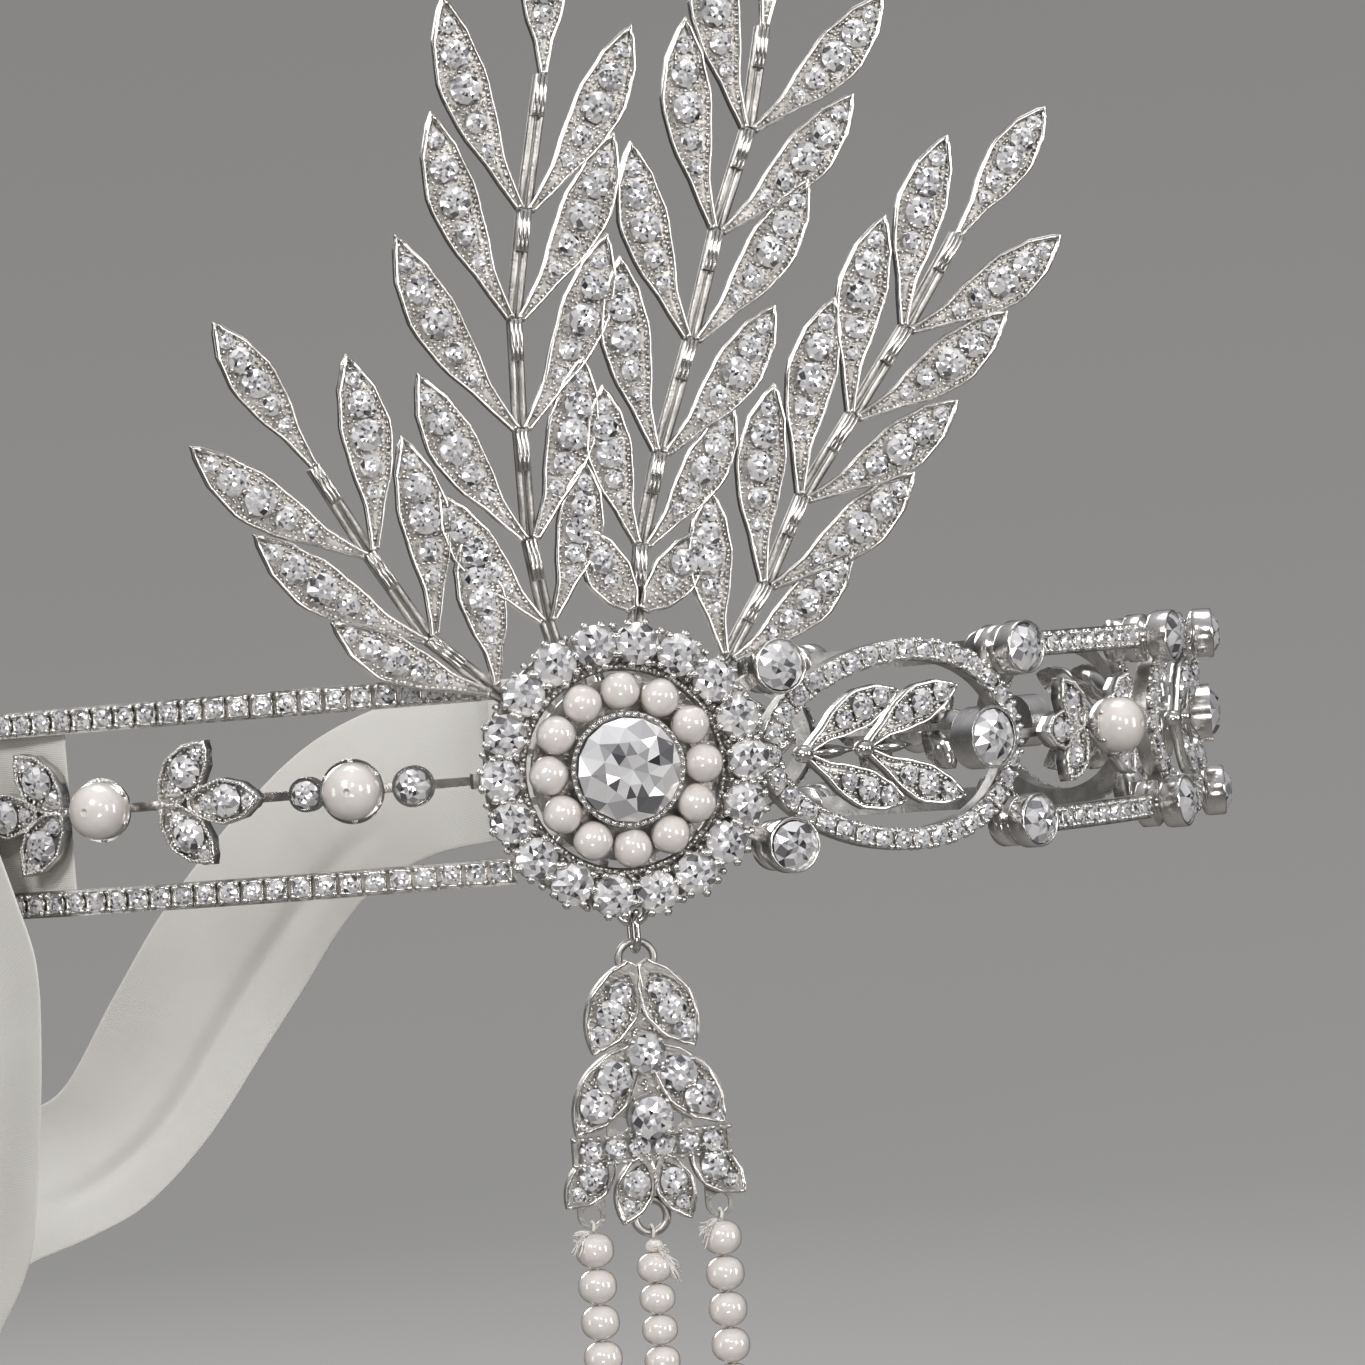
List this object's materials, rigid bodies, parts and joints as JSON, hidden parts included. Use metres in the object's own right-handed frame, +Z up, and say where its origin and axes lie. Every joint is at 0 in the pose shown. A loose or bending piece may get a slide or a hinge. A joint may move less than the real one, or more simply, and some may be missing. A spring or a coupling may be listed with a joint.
{
  "type": "bridal tiara",
  "caption": "Openwork crystal and pearl bandeau headpiece with a side medallion, fanned leaf sprays, a pearl tassel and satin ribbon ties.",
  "frame": {"origin": "centre of the band's plan circle at the band's mid height, which is the centre of the head opening", "axes": "+Z up; -Y from the centre through the medallion; +X along the band from the medallion towards the long side"},
  "size_m": [0.1839, 0.2079, 0.312],
  "materials": {
    "rhodium_metal": "bright rhodium plate",
    "pave_castings": "bright rhodium plate over a textured casting",
    "crystal": "clear foil-backed crystal",
    "pearl": "ivory pearl lustre",
    "satin_ribbon": "ivory double-faced satin",
    "white_thread": "white twisted thread"
  },
  "bodies": {
    "band": {"band_pearls": "pearl", "centre_bezel": "rhodium_metal", "centre_crystal": "crystal", "corner_collets": "rhodium_metal", "corner_crystals": "crystal", "halo_crystals": "crystal", "halo_settings": "rhodium_metal", "medallion_pearls": "pearl", "medallion_plate": "rhodium_metal", "oval_collet_crystals": "crystal", "oval_collets": "rhodium_metal", "oval_frame_1": "rhodium_metal", "oval_frame_2": "rhodium_metal", "oval_frame_3": "rhodium_metal", "oval_frame_4": "rhodium_metal", "oval_frame_crystals": "crystal", "oval_sprig_1": "pave_castings", "oval_sprig_2": "pave_castings", "oval_sprig_3": "pave_castings", "oval_sprig_4": "pave_castings", "oval_sprig_crystals": "crystal", "panel_trefoils": "pave_castings", "pearl_cups": "rhodium_metal", "pearl_panel_rails_1": "rhodium_metal", "pearl_panel_rails_2": "rhodium_metal", "pearl_panel_rails_3": "rhodium_metal", "rail_crystals": "crystal", "rear_bar": "rhodium_metal", "rear_collet_crystals": "crystal", "rear_collets": "rhodium_metal", "rear_rails": "rhodium_metal", "rear_trefoils": "pave_castings", "ribbon_bars": "rhodium_metal", "ribbon_near_fold": "satin_ribbon", "spray_1_leaves": "pave_castings", "spray_1_stem": "rhodium_metal", "spray_2_leaves": "pave_castings", "spray_2_stem": "rhodium_metal", "spray_3_leaves": "pave_castings", "spray_3_stem": "rhodium_metal", "spray_4_leaves": "pave_castings", "spray_4_stem": "rhodium_metal", "spray_crystals": "crystal", "tassel_eyelet": "rhodium_metal", "trefoil_crystals": "crystal"},
    "tassel_link": {"tassel_link": "rhodium_metal"},
    "tassel_plate": {"tassel_plate": "pave_castings", "tassel_crystals": "crystal"},
    "strand_left": {"strand_left_pearls": "pearl", "strand_left_thread": "white_thread"},
    "strand_middle": {"strand_middle_pearls": "pearl", "strand_middle_thread": "white_thread"},
    "strand_right": {"strand_right_pearls": "pearl", "strand_right_thread": "white_thread"},
    "ribbon_near": {"ribbon_near": "satin_ribbon"},
    "ribbon_far": {"ribbon_far": "satin_ribbon"}
  },
  "joints": [
    {"name": "link_swing", "type": "hinge", "parent": "band", "child": "tassel_link", "pos_m": [0, -0.086, -0.0163], "axis": [1, 0, 0], "range_deg": [-12, 70]},
    {"name": "plate_sway", "type": "hinge", "parent": "tassel_link", "child": "tassel_plate", "pos_m": [0, -0.086, -0.01905], "axis": [0, 1, 0], "range_deg": [-30, 30]},
    {"name": "strand_left_swing", "type": "hinge", "parent": "tassel_plate", "child": "strand_left", "pos_m": [-0.0069, -0.08585, -0.04775], "axis": [1, 0, 0], "range_deg": [-40, 55]},
    {"name": "strand_middle_swing", "type": "hinge", "parent": "tassel_plate", "child": "strand_middle", "pos_m": [-0.0006, -0.08585, -0.04895], "axis": [1, 0, 0], "range_deg": [-40, 55]},
    {"name": "strand_right_swing", "type": "hinge", "parent": "tassel_plate", "child": "strand_right", "pos_m": [0.0069, -0.08585, -0.04775], "axis": [1, 0, 0], "range_deg": [-40, 55]},
    {"name": "ribbon_near_swing", "type": "hinge", "parent": "band", "child": "ribbon_near", "pos_m": [-0.06587, -0.05372, 0], "axis": [0, 0, 1], "range_deg": [-60, 0]},
    {"name": "ribbon_far_swing", "type": "hinge", "parent": "band", "child": "ribbon_far", "pos_m": [0.02357, 0.08167, 0], "axis": [0, 0, 1], "range_deg": [-60, 20]}
  ]
}
